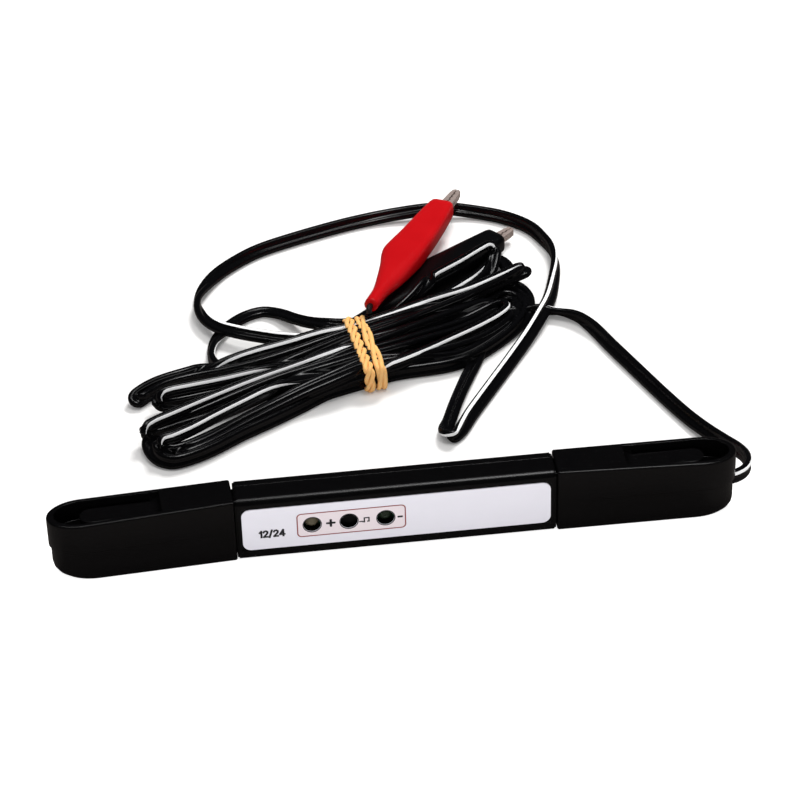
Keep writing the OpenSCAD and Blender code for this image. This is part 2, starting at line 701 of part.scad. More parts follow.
module black_wire() {
    color([0.06, 0.05, 0.05]) cord([on_black(9.9), on_black(5), on_black(0), [-2, 104.2, 3.7, 0], [-4, 103.9, 3.8, 0], [-6.4, 103.6, 4, 0]], 2, 2);
}

front_shell();
rear_shell();
probe_cap();
cord_cap();
label();
circuit_board();
led_plus();
led_minus();
buzzer();
chip();
resistors();
transistors();
capacitor();
probe_needle();
needle_collet();
probe_wire();
cord_anchor();
inner_wires();
shell_screws();
cord_lead();
cord_long_loop();
cord_short_loop();
cord_hank();
band_left();
band_right();
red_boot();
red_fixed_jaw();
red_moving_jaw();
red_rivet();
red_spring();
red_wire();
black_boot();
black_fixed_jaw();
black_moving_jaw();
black_rivet();
black_spring();
black_wire();
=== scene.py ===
import math

import bmesh
import bpy
from mathutils import Matrix, Vector


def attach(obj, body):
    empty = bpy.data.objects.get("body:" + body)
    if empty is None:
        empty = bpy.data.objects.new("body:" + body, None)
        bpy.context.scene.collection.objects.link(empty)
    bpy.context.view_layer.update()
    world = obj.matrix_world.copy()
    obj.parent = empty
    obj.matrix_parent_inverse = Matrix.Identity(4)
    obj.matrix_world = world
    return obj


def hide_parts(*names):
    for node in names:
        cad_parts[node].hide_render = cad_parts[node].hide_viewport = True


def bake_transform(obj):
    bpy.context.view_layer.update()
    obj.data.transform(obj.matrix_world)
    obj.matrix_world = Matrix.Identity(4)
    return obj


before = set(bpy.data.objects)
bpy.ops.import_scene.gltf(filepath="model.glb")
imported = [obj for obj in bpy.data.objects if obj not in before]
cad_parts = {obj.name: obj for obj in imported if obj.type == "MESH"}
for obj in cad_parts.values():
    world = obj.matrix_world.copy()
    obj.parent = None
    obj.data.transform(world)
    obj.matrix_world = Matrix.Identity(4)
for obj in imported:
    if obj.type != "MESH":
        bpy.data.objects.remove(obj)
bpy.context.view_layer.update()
scene = bpy.context.scene

# Points and sizes are written in millimetres, and the scene is in metres
MM = 0.001

# Camera fitted to the pen's edges, seams, holes and ends: its angles are in
# radians and its place is in metres
yaw, pitch, roll = 0.102, 0.623, 0.031
camera_x, camera_y, camera_z = -0.067942, -0.68818, 0.544794
forward = Vector((math.sin(yaw) * math.cos(pitch), math.cos(yaw) * math.cos(pitch), -math.sin(pitch)))
level = Vector((math.cos(yaw), -math.sin(yaw), 0))
below = forward.cross(level)
right = math.cos(roll) * level + math.sin(roll) * below
down = -math.sin(roll) * level + math.cos(roll) * below
lens = bpy.data.cameras.new("camera")
lens.sensor_width = 36
lens.lens = 135
lens.clip_start = 0.05
lens.clip_end = 20
camera = bpy.data.objects.new("camera", lens)
scene.collection.objects.link(camera)
camera.matrix_world = Matrix((
    (right.x, -down.x, -forward.x, camera_x),
    (right.y, -down.y, -forward.y, camera_y),
    (right.z, -down.z, -forward.z, camera_z),
    (0, 0, 0, 1)))
scene.camera = camera


def between(s, t0, t1, a, b):
    return (t1 - s) / (t1 - t0) * a + (s - t0) / (t1 - t0) * b


# Fine rows from the second to the third of four rows, by a centripetal
# Catmull-Rom curve
def span(p):
    steps = 16
    t = [0.0]
    for a, b in zip(p, p[1:]):
        t.append(t[-1] + max(math.dist(a[:3], b[:3]), 1e-6) ** 0.5)
    rows = []
    for k in range(steps):
        s = t[1] + (t[2] - t[1]) * k / steps
        row = []
        for c in range(4):
            a1 = between(s, t[0], t[1], p[0][c], p[1][c])
            a2 = between(s, t[1], t[2], p[1][c], p[2][c])
            a3 = between(s, t[2], t[3], p[2][c], p[3][c])
            b1 = between(s, t[0], t[2], a1, a2)
            b2 = between(s, t[1], t[3], a2, a3)
            row.append(between(s, t[1], t[2], b1, b2))
        rows.append(row)
    return rows


# Smooth line through rows of a place and one more number, such as a turn in
# degrees. Its rows are about a step apart, and closer where it bends or turns.
def smooth(points, step):
    most_turn, least_gap, same_place = 11, 0.25, 1e-5
    rows = [list(p) for p in points]
    for a, b in zip(rows, rows[1:]):
        b[3] += 360 * round((a[3] - b[3]) / 360)
    first = [2 * a - b for a, b in zip(rows[0], rows[1])]
    last = [2 * a - b for a, b in zip(rows[-1], rows[-2])]
    rows = [first] + rows + [last]
    fine = []
    for i in range(1, len(rows) - 2):
        fine += span(rows[i - 1:i + 3])
    fine.append(rows[-2])
    out = [fine[0]]
    gone = turned = 0.0
    for a, b, c in zip(fine, fine[1:], fine[2:]):
        d = Vector(b[:3]) - Vector(a[:3])
        f = Vector(c[:3]) - Vector(b[:3])
        if d.length < same_place or f.length < same_place:
            continue
        gone += d.length
        turned += math.degrees(d.angle(f)) + 0.5 * abs(b[3] - a[3])
        if gone > step or (turned > most_turn and gone > least_gap):
            out.append(b)
            gone = turned = 0.0
    out.append(fine[-1])
    return out


def new_object(name, verts, faces, mats, index=None):
    mesh = bpy.data.meshes.new(name)
    mesh.from_pydata([tuple(c * MM for c in v) for v in verts], [], faces)
    for mat in mats:
        mesh.materials.append(mat)
    for i, poly in enumerate(mesh.polygons):
        poly.use_smooth = True
        if index:
            poly.material_index = index[i]
    mesh.update()
    obj = bpy.data.objects.new(name, mesh)
    scene.collection.objects.link(obj)
    return obj


# Skin over rings of points, closed at both ends. strips gives the material of
# each strip of faces along the rings.
def rings_object(name, rings, mats, strips=None):
    n, last = len(rings[0]), len(rings) - 1
    faces, index = [], []
    for i in range(last):
        for k in range(n):
            k2 = (k + 1) % n
            faces.append((i * n + k, i * n + k2, (i + 1) * n + k2, (i + 1) * n + k))
            index.append(strips[k] if strips else 0)
    faces.append(tuple(reversed(range(n))))
    faces.append(tuple(last * n + k for k in range(n)))
    index += [0, 0]
    return new_object(name, [p for ring in rings for p in ring], faces, mats, index)


# For each row of a line: its place and the directions of the section's width
# and thickness, turned about the line by the row's last number
def frames(line):
    out = []
    for i, p in enumerate(line):
        a, b = line[max(i - 1, 0)], line[min(i + 1, len(line) - 1)]
        along = Vector([b[c] - a[c] for c in range(3)]).normalized()
        side = Vector((0, 0, 1)).cross(along).normalized()
        up = along.cross(side)
        r = math.radians(p[3])
        width = side * math.cos(r) + up * math.sin(r)
        thickness = up * math.cos(r) - side * math.sin(r)
        out.append((Vector(p[:3]), width, thickness))
    return out


# Section of the flat two-core cord: two round cores side by side
def cord_section(w, h):
    core = h / 2
    off = w / 2 - core
    arc = (-140, -112, -84, -56, -28, 0, 23, 46, 72, 98, 118, 140)
    one = [(off + core * math.cos(math.radians(a)), core * math.sin(math.radians(a))) for a in arc]
    two = [(-x, -y) for x, y in one]
    return one + two


# Material whose colour and roughness vary in slow clouds, with a fine grain as
# relief. edge is the radius, in metres, that rounds its sharp edges.
def shader(name, color, rough, spec=0.5, coat=0.0, metal=0.0, bump=0.0, grain=2000.0, vary=0.12,
        sub=0.0, edge=0.0):
    mat = bpy.data.materials.new(name)
    mat.use_nodes = True
    nodes, links = mat.node_tree.nodes, mat.node_tree.links
    surface = nodes["Principled BSDF"]
    surface.inputs["Base Color"].default_value = (*color, 1)
    surface.inputs["Roughness"].default_value = rough
    surface.inputs["Metallic"].default_value = metal
    surface.inputs["Specular IOR Level"].default_value = spec
    surface.inputs["Coat Weight"].default_value = coat
    surface.inputs["Coat Roughness"].default_value = 0.1
    surface.inputs["Subsurface Weight"].default_value = sub
    surface.inputs["Subsurface Scale"].default_value = 0.002
    place = nodes.new("ShaderNodeTexCoord")
    cloud = nodes.new("ShaderNodeTexNoise")
    cloud.inputs["Scale"].default_value = grain * 0.12
    cloud.inputs["Detail"].default_value = 4
    links.new(place.outputs["Object"], cloud.inputs["Vector"])
    spread = nodes.new("ShaderNodeMapRange")
    spread.inputs["From Min"].default_value = 0.3
    spread.inputs["From Max"].default_value = 0.7
    spread.inputs["To Min"].default_value = max(rough - vary * rough, 0.02)
    spread.inputs["To Max"].default_value = min(rough + vary * rough, 1)
    links.new(cloud.outputs["Fac"], spread.inputs["Value"])
    links.new(spread.outputs["Result"], surface.inputs["Roughness"])
    mix = nodes.new("ShaderNodeMix")
    mix.data_type = "RGBA"
    mix.inputs["A"].default_value = (*[c * (1 - vary) for c in color], 1)
    mix.inputs["B"].default_value = (*[min(c * (1 + vary), 1) for c in color], 1)
    links.new(cloud.outputs["Fac"], mix.inputs["Factor"])
    links.new(mix.outputs["Result"], surface.inputs["Base Color"])
    if bump:
        fine = nodes.new("ShaderNodeTexNoise")
        fine.inputs["Scale"].default_value = grain
        fine.inputs["Detail"].default_value = 3
        links.new(place.outputs["Object"], fine.inputs["Vector"])
        relief = nodes.new("ShaderNodeBump")
        relief.inputs["Strength"].default_value = bump
        relief.inputs["Distance"].default_value = 0.0001
        links.new(fine.outputs["Fac"], relief.inputs["Height"])
        links.new(relief.outputs["Normal"], surface.inputs["Normal"])
        if edge:
            round_edge = nodes.new("ShaderNodeBevel")
            round_edge.samples = 6
            round_edge.inputs["Radius"].default_value = edge
            links.new(round_edge.outputs["Normal"], relief.inputs["Normal"])
    return mat


case_black = shader(
    "case_black", (0.0016, 0.0015, 0.0017), 0.24, spec=0.4, bump=0.06, grain=2600, edge=0.0005)
label_white = shader("label_white", (0.8, 0.785, 0.85), 0.42, bump=0.03, grain=1500, vary=0.02)
label_pink = shader("label_pink", (0.81, 0.72, 0.75), 0.42, bump=0.03, grain=1500, vary=0.03)
print_and_shade_dark = shader("print_and_shade_dark", (0.012, 0.011, 0.014), 0.5, vary=0.1)
print_red = shader("print_red", (0.26, 0.045, 0.04), 0.5, vary=0.1)
board_green = shader("board_green", (0.03, 0.2, 0.08), 0.4, bump=0.1, grain=900)
lamp_warm = shader("lamp_warm", (0.1, 0.085, 0.055), 0.2, coat=0.6, vary=0.4, grain=1500)
lamp_smoke = shader("lamp_smoke", (0.012, 0.02, 0.011), 0.2, coat=0.4, vary=0.4, grain=1500)
part_black = shader("part_black", (0.01, 0.01, 0.01), 0.5, bump=0.1)
part_tan = shader("part_tan", (0.5, 0.35, 0.16), 0.35, bump=0.05)
part_blue = shader("part_blue", (0.04, 0.08, 0.3), 0.25)
steel = shader("steel", (0.5, 0.5, 0.5), 0.28, metal=1, bump=0.05, grain=3000)
brass = shader("brass", (0.6, 0.42, 0.16), 0.3, metal=1, bump=0.05, grain=3000)
wire_red = shader("wire_red", (0.4, 0.01, 0.01), 0.3)
wire_black = shader("wire_black", (0.012, 0.009, 0.009), 0.35)
grommet_black = shader("grommet_black", (0.01, 0.01, 0.01), 0.6, bump=0.1)
cord_black = shader("cord_black", (0.0018, 0.0018, 0.0022), 0.2, spec=0.5, bump=0.03, grain=1800)
cord_white = shader("cord_white", (0.93, 0.93, 0.93), 0.4, vary=0.03)
band_tan = shader("band_tan", (0.86, 0.47, 0.16), 0.5, bump=0.25, grain=2500, vary=0.12, sub=0.15)
boot_red = shader("boot_red", (0.43, 0.0012, 0.0035), 0.36, spec=0.22, bump=0.04, grain=900, vary=0.1)
boot_black = shader("boot_black", (0.0018, 0.0018, 0.0022), 0.34, spec=0.35, bump=0.06, grain=1500)
spring_grey = shader("spring_grey", (0.3, 0.3, 0.3), 0.35, metal=1)
nickel = shader("nickel", (0.62, 0.5, 0.45), 0.28, metal=0.6, bump=0.02, grain=2500, vary=0.12)

dress = {
    "front_shell": case_black, "rear_shell": case_black, "probe_cap": case_black, "cord_cap": case_black,
    "label": label_white, "circuit_board": board_green, "led_plus": lamp_warm, "led_minus": lamp_smoke,
    "buzzer": part_black, "chip": part_black, "resistors": part_tan, "transistors": part_black,
    "capacitor": part_blue, "probe_needle": steel, "needle_collet": brass, "probe_wire": wire_red,
    "cord_anchor": grommet_black, "inner_wires": wire_black, "shell_screws": steel,
}
for clip in ("red", "black"):
    dress[clip + "_fixed_jaw"] = nickel
    dress[clip + "_moving_jaw"] = nickel
    dress[clip + "_rivet"] = nickel
    dress[clip + "_spring"] = spring_grey
    dress[clip + "_wire"] = wire_black
for name, mat in dress.items():
    data = bpy.data.objects[name].data
    data.materials.clear()
    data.materials.append(mat)

# The flat cord, one line from the pen to the split above the clips, in
# millimetres with its turn about its own line: 90 on edge, 0 flat. It follows
# the strands of the photograph, near the plainer routes of the solids.
lead = [[50, 0, 9, 90], [60, 0, 9, 90], [80, 0, 9, 90], [96, 0, 9, 90], [100.5, 0.3, 9, 90],
    [104, 2.5, 8.8, 90],
    [106, 6, 8.4, 92], [106.6, 11, 7.4, 98], [105.6, 17, 5.8, 110], [103, 24, 4, 124], [99.2, 32, 2.8, 134],
    [95, 41, 2.2, 138],
    [89.5, 54.4, 2, 138], [84, 68.6, 2, 136], [78.6, 82.6, 2, 132], [74.2, 94, 2, 110],
    [70, 100.6, 2.1, 70], [64, 104.4, 2.2, 44],
    [57, 105, 1.6, 120]]
long_loop = [[31.6, 73.4, 1.6, 190], [28.8, 67, 1.4, 196], [25.7, 59.2, 1.4, 198], [22.8, 51.1, 1.5, 194],
    [20.9, 46, 1.8, 170],
    [21.2, 42.8, 2.2, 130], [22.8, 41.6, 2.3, 92], [25, 44, 2.2, 58], [27, 47.4, 2.1, 42], [29.4, 52, 2, 36],
    [36.9, 64.3, 2, 34], [46.1, 79.1, 2.1, 33], [53.6, 91, 2.8, 33], [59.4, 101, 3.8, 34],
    [63.3, 109.8, 3.2, 38],
    [66.6, 121.4, 2.2, 50], [69, 132.4, 2.1, 72], [69, 140.4, 2.2, 90], [67.4, 146.6, 2.1, 106],
    [63.7, 155.4, 2, 120],
    [54.9, 163.8, 2, 128], [45.3, 168.2, 2.4, 132], [38, 169.8, 3.1, 140], [31, 169.9, 3.4, 146],
    [21.6, 170, 2.7, 140],
    [13, 169.2, 2.2, 134], [4.4, 167.2, 2, 130], [-13.4, 161.2, 2, 128], [-27.4, 155.3, 2, 132],
    [-34.5, 150.5, 2, 140],
    [-41.6, 143.8, 2, 156], [-46.6, 136.6, 2, 196], [-49.4, 128.8, 2.4, 252], [-49.4, 122.4, 2.6, 306],
    [-47.8, 116, 3, 345], [-44.2, 109.9, 3.8, 15],
    [-38.4, 105.2, 4.4, 26], [-31, 101.6, 4.4, 30], [-24, 98.8, 4.4, 30]]
short_loop = [[-47.3, 93.8, 2.3, 92], [-47.2, 97.4, 2.3, 100], [-46.6, 101.4, 2.1, 120],
    [-44.9, 106.4, 1.5, 150], [-42.2, 111, 1.2, 172], [-38.6, 115.2, 1.2, 180],
    [-34, 118.6, 1.2, 180], [-29, 120, 1.2, 180], [-24, 117.4, 1.7, 180], [-19.4, 111.8, 3, 182],
    [-14.6, 105.8, 5, 190], [-9.4, 101.6, 6.6, 200]]


# Lanes at the waist of the hank, from the front to the back
def lane(k, turn, z=6.6):
    return [1.8 - 0.3 * k, 74.1 + 2.45 * k, z, turn]


first_run = [
    # low row to the left, a fold, and back out at the front
    [50, 103.4, 1.3, 180], [44, 101, 1.8, 150], [36, 97.4, 2.3, 95], [24, 91.6, 2.3, 90],
    [12, 86.2, 2.3, 90], [1.1, 81.7, 2.3, 90],
    [-10, 78.6, 2.3, 90], [-20, 76.6, 2.3, 90], [-34, 75, 2.3, 90], [-46, 70.2, 2.3, 90],
    [-55, 65.8, 2.3, 90], [-58.8, 64.1, 2.3, 110],
    [-60.4, 63.6, 2.3, 150], [-61, 62.6, 2.3, 185], [-60.2, 61.7, 2.3, 220], [-57.8, 61.8, 2.3, 245],
    [-50, 65.4, 2.3, 270], [-34, 72, 2.3, 270], [-20, 74, 2.3, 270], [-10, 76, 2.3, 270],
    [1.4, 79.2, 2.3, 270], [14, 83.4, 2.3, 270], [24, 87.4, 2.3, 270], [31, 90.4, 2.3, 262],
    [35.6, 91, 2.2, 240], [37.6, 89, 1.8, 215], [37, 85.4, 1.4, 200], [34.6, 80, 1.3, 192]]
tied = [
    # low row from the big loop to the tip on the black boot
    [-17, 98, 3.8, 10], [-9, 98.2, 2.8, 340], [-1.5, 99.6, 2.4, 300], [7, 105, 2.6, 280],
    [14, 110.6, 3.6, 270], [19.4, 114.6, 5.6, 262],
    [23.8, 118.1, 7.6, 230], [25.4, 119.4, 8.1, 190], [27, 120.7, 8.3, 94], [28.8, 121.9, 8.4, 90],
    [36.6, 127.6, 8.4, 90], [44.6, 134.1, 8.4, 90], [47.2, 136.2, 8.3, 100], [48.6, 136.9, 7.6, 150],
    [49.1, 135.8, 6.2, 180], [48.3, 132.9, 4.4, 186],
    [45.8, 128.2, 2.8, 130], [40, 122.6, 2.3, 90], [31, 114.8, 2.3, 90], [21, 107, 2.3, 90],
    [11, 101, 2.3, 90], [-0.7, 96, 2.3, 90],
    # hidden fold, and out along the low row to the second tip
    [-12, 93.8, 2.3, 90], [-22, 91.8, 2.3, 90], [-27, 90.9, 2.3, 90], [-29.4, 90.6, 2.3, 90],
    [-30.6, 89.6, 2.3, 90], [-29.8, 88.5, 2.3, 90], [-27.2, 88.2, 2.3, 90], [-22, 89.2, 2.3, 90],
    [-12, 91.4, 2.3, 90], [-0.5, 93.6, 2.3, 90], [9, 99.4, 2.3, 90], [19, 108.6, 2.3, 90],
    [29.4, 117.2, 2.5, 90], [35, 121.6, 2.6, 90],
    [41, 126.8, 2.6, 90], [44.4, 130.8, 2.6, 90], [46.7, 134.8, 2.6, 94], [48.4, 137, 2.6, 132],
    [50.4, 136.9, 2.5, 165], [52.3, 134.2, 2.3, 178], [53.1, 130.6, 2, 180],
    [52.4, 126, 1.4, 180], [49.6, 121.4, 1.2, 180], [45, 117.4, 1.2, 180], [38, 113.2, 1.8, 150],
    [30, 109, 4, 104], [22, 105.4, 6, 90],
    [12, 101, 6.6, 90], lane(9, 90),
    # back finger: inner strand, tight fold, outer strand
    [-12, 92.2, 6, 90], [-22, 89.2, 5, 90], [-34, 86.4, 3.8, 90], [-44, 85.2, 2.8, 90],
    [-54, 84.2, 2.4, 90], [-62, 81.8, 2.3, 90],
    [-67, 78.6, 2.3, 90], [-70.2, 75.8, 2.3, 100], [-72, 75.4, 2.3, 150], [-72.4, 77, 2.3, 200],
    [-69.8, 80.4, 2.3, 250], [-65.2, 83.8, 2.3, 268],
    [-59.4, 86.2, 2.4, 270], [-55.4, 87, 2.6, 258], [-52, 87.5, 2.9, 216], [-48.4, 88, 3.5, 160],
    [-44, 88.7, 4.1, 110], [-39, 89.7, 4.8, 92], [-34, 90.8, 5.4, 90],
    [-22.7, 93, 6.4, 90], [-12.9, 96.2, 6.6, 90], lane(10, 90),
    # long straight run to the upper right tip and back
    [9.6, 102.7, 6.6, 90], [23.9, 108.9, 6.6, 90], [37.6, 114, 6.6, 90], [51.9, 122, 6.6, 90],
    [55.2, 124, 6.6, 94], [56.7, 124.4, 6.6, 120],
    [57.5, 123.6, 6.5, 148], [57.1, 122.4, 6.5, 150], [55.5, 121.3, 6.6, 120], [50, 117.6, 6.8, 90],
    [42, 113, 6.6, 90], [32, 107.2, 6.6, 90], [20, 100.8, 6.6, 90],
    [10, 95.6, 6.6, 90], lane(7, 90),
    # second finger: in under itself, out on top
    [-12, 85.8, 5.4, 90], [-22, 82, 3.6, 90], [-33, 78.4, 2.4, 90], [-44, 75.6, 2.3, 90],
    [-54, 73.2, 2.3, 90], [-61, 71.9, 2.3, 96],
    [-64.4, 71.5, 2.8, 125], [-65.6, 71.5, 4.3, 155], [-65, 71.9, 5.9, 150], [-63.4, 72.2, 6.5, 104],
    [-61.6, 72.5, 6.6, 90], [-57.1, 73.4, 6.6, 90], [-44.5, 75.7, 6.6, 90],
    [-34, 78.3, 6.6, 96], [-29, 80.2, 6.5, 130], [-24, 82.4, 6.3, 190], [-19, 84.8, 6.2, 236],
    [-12, 88.4, 6.4, 264], [-6, 91.4, 6.6, 270], lane(8, 270),
    # outermost turn at the right, down to the table
    [10, 98, 6.6, 270], [20, 102, 6, 270], [30, 105.4, 4.6, 270], [39, 110.4, 3.2, 270],
    [45, 115.4, 2.9, 262], [50, 119.2, 2.8, 245], [53.8, 119, 2.6, 220],
    [56.3, 114.4, 2.4, 195], [56.2, 108.6, 2.4, 165], [54.2, 102, 2.5, 135], [50.2, 96, 2.6, 110],
    [45.2, 90.8, 2.4, 100], [39.3, 85.6, 2.3, 100],
    [33.3, 81.3, 2.5, 100], [26.1, 78.9, 2.3, 100], [19.7, 78.1, 2.3, 100], [10.1, 77.2, 2.3, 100],
    [1.9, 75, 2.3, 100],
    # big turn at the left on the table
    [-6, 72.4, 2.3, 100], [-12.7, 70, 2.3, 100], [-22, 63.9, 2.3, 100], [-31.5, 58, 2.3, 100],
    [-40.8, 52.6, 2.3, 100], [-50, 46.4, 2.3, 100],
    [-57, 42.9, 2.3, 100], [-62.8, 41.6, 2.3, 104], [-66.6, 43.8, 2.3, 120], [-68.6, 47.4, 2.3, 150],
    [-69.4, 52, 2.3, 190], [-68.2, 56, 2.4, 225],
    [-64, 59.4, 2.8, 255], [-58, 61.6, 3.4, 268], [-50, 64.8, 4.2, 270], [-40, 69, 5.2, 270],
    [-28, 74, 6, 270], [-14, 78.6, 6.4, 270], lane(4, 270),
    # inner turns at the right and the fingers that belong to them
    [10, 87, 6.4, 270], [20, 91.4, 5.8, 270], [30, 96, 5, 270], [38, 100.2, 4.5, 262],
    [43, 103.6, 4.4, 230], [44.6, 106, 4.6, 185],
    [42.4, 106.8, 5, 140], [34, 103.2, 5.8, 104], [22, 97, 6.4, 100], [10, 90.8, 6.6, 100], lane(5, 100),
    [-5, 84, 6.6, 98], [-11.5, 81.2, 6, 94], [-22, 76.2, 4.6, 90], [-34.8, 70.2, 2.8, 90],
    [-48.6, 63.2, 2.3, 90], [-60, 59, 2.3, 90],
    [-65.6, 56.6, 2.4, 96], [-68.6, 55.4, 2.8, 125], [-70.4, 54.8, 4.2, 155], [-70.8, 54.6, 5.8, 150],
    [-69.6, 55.2, 6.5, 104], [-67.6, 56.4, 6.6, 90],
    [-62.3, 59.4, 6.6, 90], [-48.6, 66.9, 6.6, 90],
    [-34.8, 73.9, 6.6, 90], [-22, 79.4, 6.6, 90], [-11.5, 84.3, 6.6, 90], [-5, 87, 6.6, 96],
    [-1, 88.5, 6.6, 150], [4, 90.4, 6.6, 240],
    [12, 93.2, 6.5, 270], [20, 97, 6, 270], [30, 102, 4.8, 270], [39, 107.4, 3.4, 270], [45, 112, 2.4, 255],
    [49.4, 115, 2.3, 235],
    [52.4, 113.4, 2.3, 205], [53.4, 108.4, 2.3, 180], [51.6, 102.2, 2.3, 150], [47.6, 96, 2.4, 115],
    [42.8, 91.8, 2.4, 102], [36.8, 86.8, 2.5, 100], [30, 82.6, 3, 100],
    [20, 80.4, 4.6, 100], [10, 79.6, 6, 100], lane(2, 100), [-4, 76.9, 6.4, 98],
    [-10, 74.4, 5.8, 90], [-20, 70.8, 4.2, 90], [-31, 65.2, 2.8, 90], [-42, 58.2, 2.3, 90],
    [-52, 51.8, 2.3, 90], [-59, 48.2, 2.3, 90],
    [-62.8, 47, 2.6, 110], [-65.6, 46.8, 4, 150], [-66.4, 47.3, 5.6, 150], [-65, 47.8, 6.5, 106],
    [-62.4, 48.2, 6.6, 90], [-56.3, 51.6, 6.6, 90],
    [-49.5, 56.4, 6.6, 90], [-40.3, 62.5, 6.6, 90], [-31, 68.4, 6.6, 94], [-26, 71.4, 6.6, 130],
    [-20, 74.2, 6.5, 190], [-13, 76.4, 6.5, 240],
    [-6, 79, 6.6, 268], lane(3, 270),
    [10, 84.2, 6.4, 270], [20, 88.4, 5.8, 270], [30, 93, 4.8, 270], [38, 97.8, 4.3, 270],
    [44, 102, 4.2, 255], [48, 104.4, 4.1, 225],
    [50.6, 103.8, 3.8, 180], [50.2, 100.4, 3.8, 140], [46.4, 96, 3.8, 110], [41, 91.4, 3.8, 100],
    [34, 87, 4, 100], [26, 83, 5, 100],
    [16, 79.4, 6.1, 100], [8, 77.2, 6.6, 100], lane(1, 100),
    [-8, 72.6, 6.4, 100], [-20, 67.4, 5.4, 100], [-31.5, 62, 4, 100], [-40.8, 57, 3.2, 100],
    [-50, 51, 2.6, 100], [-56, 47.9, 2.4, 108],
    [-58.8, 46.9, 2.3, 140], [-60, 45.9, 2.3, 170], [-59.8, 44.9, 2.3, 200], [-58.4, 44.4, 2.3, 220],
    [-55.8, 45.5, 2.3, 240], [-50, 48.7, 2.4, 262], [-40.8, 54.8, 2.8, 270], [-31.5, 60.2, 3.4, 270],
    [-20, 66, 4.6, 270], [-10, 69.6, 6, 270], [-4, 72.2, 6.5, 262], lane(0, 180), [6.3, 75.2, 6.6, 100],
    [12, 77.6, 6.6, 90], [20.5, 82, 6.6, 90], [27.3, 86, 6.6, 90], [34.2, 90, 6.6, 90],
    [41.3, 94.6, 6.6, 90], [46, 98.4, 6.6, 90],
    [48.2, 101.6, 6.5, 90], [47.4, 104.2, 6.2, 90], [44, 104.6, 5.4, 90], [38, 102.4, 4.2, 90],
    [30, 99.4, 2.8, 90], [20, 96.4, 2.3, 90],
    [10, 93.4, 2.3, 90], [-0.3, 91.2, 2.3, 90], [-12, 88.8, 2.3, 90], [-24, 86.4, 2.3, 90],
    [-34, 84.8, 2.3, 90], [-42, 86.6, 2.3, 90],
    [-46, 90, 2.3, 90]]
tail = [[-5.4, 100.8, 6.4, 205], [-1, 100.4, 6.6, 205], [3.4, 100.4, 7, 200]]

# The cord is one skin along its whole route. Its stripe is two strips of
# faces on one core.
route = lead + first_run + long_loop + tied + short_loop + tail
line = smooth(route, 2)
cord_w, cord_h = 4.7, 2.25
section = cord_section(cord_w, cord_h)
stripe = (7, 8)
strips = [1 if k in stripe else 0 for k in range(len(section))]
# Its underside stays above the table, whether it lies flat or on edge
table_gap = 0.055
for p in line:
    on_edge = abs(math.sin(math.radians(p[3])))
    p[2] = max(p[2], table_gap + cord_h / 2 + (cord_w - cord_h) / 2 * on_edge)
cord_rings = [[c + w * a + h * b for a, b in section] for c, w, h in frames(line)]
cord = rings_object("flat_cord", cord_rings, (cord_black, cord_white), strips)
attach(cord, "root")
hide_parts("cord_lead", "cord_long_loop", "cord_short_loop", "cord_hank")

# Shape of a boot: distance from its tail, half width on the moving jaw's side,
# half width on the other side, half height
boot_shape = [[0, 2.3, 2.3, 2.3], [4, 2.3, 2.3, 2.3], [8, 2.5, 2.5, 2.4], [12, 3.2, 3.2, 2.7],
    [16.5, 4.2, 4.1, 3], [20, 5, 4.6, 3.2], [24, 6, 5, 3.4], [28.5, 7.4, 5.4, 3.5], [32, 8, 5.6, 3.6],
    [36, 7.7, 5.6, 3.6], [44, 6.7, 5.6, 3.5], [56, 5.5, 5.1, 3.4], [66.5, 4.2, 4.2, 3.4]]
boot_wall = 0.8
# The section is round up to the first of these and boxy from the second
round_to, boxy_from = 10, 32
# Stretch that keeps its full size, between the slightly drawn-in ends
full_from, full_to, drawn_in = 0.6, 66.1, 0.15
# The tail's end is drawn in more, and the inside is hollow as far as here
tail_in, hollow_to = 0.5, 9


# A clip's own frame: its tail, and the directions along, across and up
def clip_frame(tail_at, turn, tilt):
    t, q = math.radians(turn), math.radians(tilt)
    along = Vector((math.cos(q) * math.cos(t), math.cos(q) * math.sin(t), -math.sin(q)))
    across = Vector((-math.sin(t), math.cos(t), 0))
    return Vector(tail_at), along, across, along.cross(across)


# Boot of a clip: a rounded skin with a wall, open at its mouth
def boot(name, where, mat):
    tail_at, along, across, up = where
    rows = smooth(boot_shape, 1.2)

    def ring(row, inset):
        at, near, far, half_h = row
        power = 1 - 0.5 * min(1, max(0, (at - round_to) / (boxy_from - round_to)))
        out = []
        for k in range(40):
            a = math.radians(9 * k)
            c, s = (math.copysign(abs(x) ** power, x) for x in (math.cos(a), math.sin(a)))
            off = ((near if c > 0 else far) - inset) * c
            out.append(tail_at + along * at + across * off + up * ((half_h - inset) * s))
        return out

    rings = [ring(rows[0], tail_in)]
    rings += [ring(row, 0.0 if full_from < row[0] < full_to else drawn_in) for row in rows]
    rings += [ring(row, boot_wall) for row in reversed(rows) if row[0] > hollow_to]
    obj = rings_object(name + "_skin", rings, (mat,))
    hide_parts(name)
    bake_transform(obj)
    return obj


red = clip_frame((4.5, 102.2, 12), 62.5, 2.6)
black = clip_frame((-0.3, 104.9, 3.6), 39.2, 0)
red_boot = boot("red_boot", red, boot_red)
black_boot = boot("black_boot", black, boot_black)

# Rubber bands round the waist of the hank: the middle and half width of the
# waist, its lowest and highest point, and its turn
waist_at = Vector((0.6, 86.5, 0))
core_y, core_low, core_top = 14.6, 1.4, 7.9
waist_turn = math.radians(7)
band_x = Vector((math.cos(waist_turn), math.sin(waist_turn), 0))
band_y = Vector((-math.sin(waist_turn), math.cos(waist_turn), 0))
# Half width and half thickness of a strand, its distance from the core, the
# radius of the loop's corners and the step along the loop
strand_w, strand_t, strand_off, corner_r, band_step = 0.8, 0.6, 0.65, 1.6, 0.5
strands, strand_sides = 3, 10


